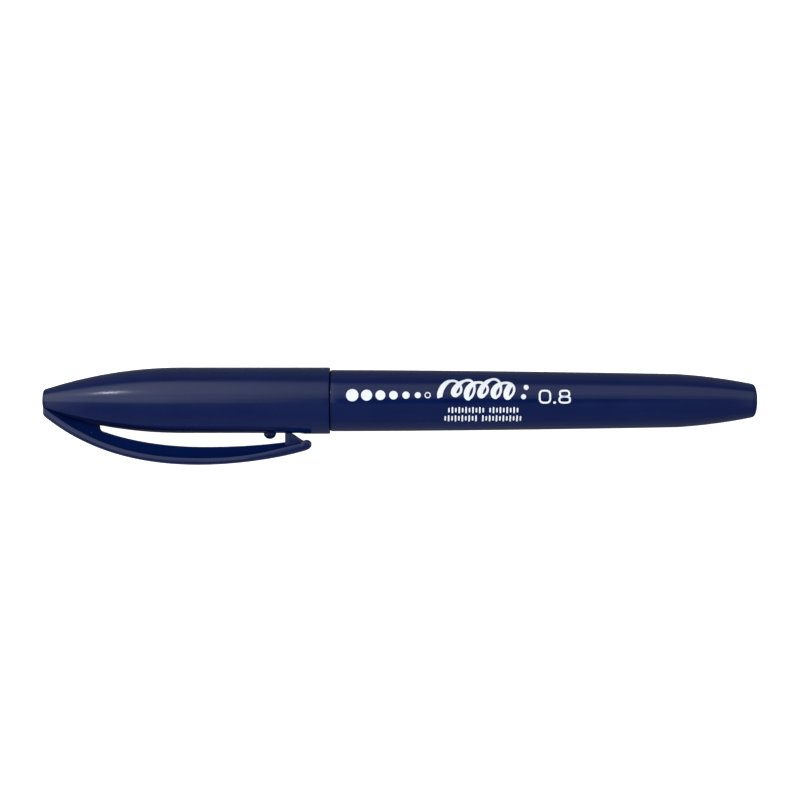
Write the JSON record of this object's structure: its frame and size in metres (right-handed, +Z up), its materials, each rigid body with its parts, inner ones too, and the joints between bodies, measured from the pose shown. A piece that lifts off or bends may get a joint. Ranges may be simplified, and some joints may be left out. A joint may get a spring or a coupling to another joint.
{
  "type": "calligraphy marker",
  "caption": "Capped fine-tip calligraphy and colour marker: tapering barrel, ogive cap with a bow-shaped pocket clip, fibre nib, inner cap and ink reservoir.",
  "frame": {"origin": "centre of the flat tail face, on the pen's axis", "axes": "+X along the pen's axis, out of the tail, so the cap is towards -X; -Y towards the pocket clip; +Z up, with the pen lying on a table and the clip beside it"},
  "size_m": [0.139, 0.0191, 0.013],
  "materials": {
    "navy_plastic": "dark navy polypropylene with a satin gloss",
    "section_plastic": "dark navy polypropylene with a satin gloss",
    "white_print": "thin pad-printed off-white ink",
    "holder_plastic": "dark grey moulded collar",
    "ink_fibre": "bonded polyester fibre soaked with dark blue ink",
    "liner_plastic": "natural white polyethylene",
    "film": "clear plastic film"
  },
  "bodies": {
    "barrel": {"barrel": "navy_plastic", "tail_plug": "navy_plastic", "grip_section": "section_plastic", "nib_holder": "holder_plastic", "nib": "ink_fibre", "ink_reservoir": "ink_fibre", "reservoir_film": "film", "breather_tube": "liner_plastic"},
    "inner_cap": {"inner_cap": "liner_plastic"},
    "cap": {"cap_shell": "navy_plastic"},
    "clip": {"pocket_clip": "navy_plastic"}
  },
  "joints": [
    {"name": "cap_pull", "type": "slide", "parent": "barrel", "child": "inner_cap", "axis": [-1, 0, 0], "range_m": [0, 0.06]},
    {"name": "cap_turn", "type": "hinge", "parent": "inner_cap", "child": "cap", "pos_m": [-0.11, 0, 0], "axis": [1, 0, 0], "continuous": true},
    {"name": "clip_flex", "type": "hinge", "parent": "cap", "child": "clip", "pos_m": [-0.1275, -0.00965, 0], "axis": [0, 0, -1], "range_deg": [0, 3], "stiffness_Nm_per_rad": 4}
  ]
}
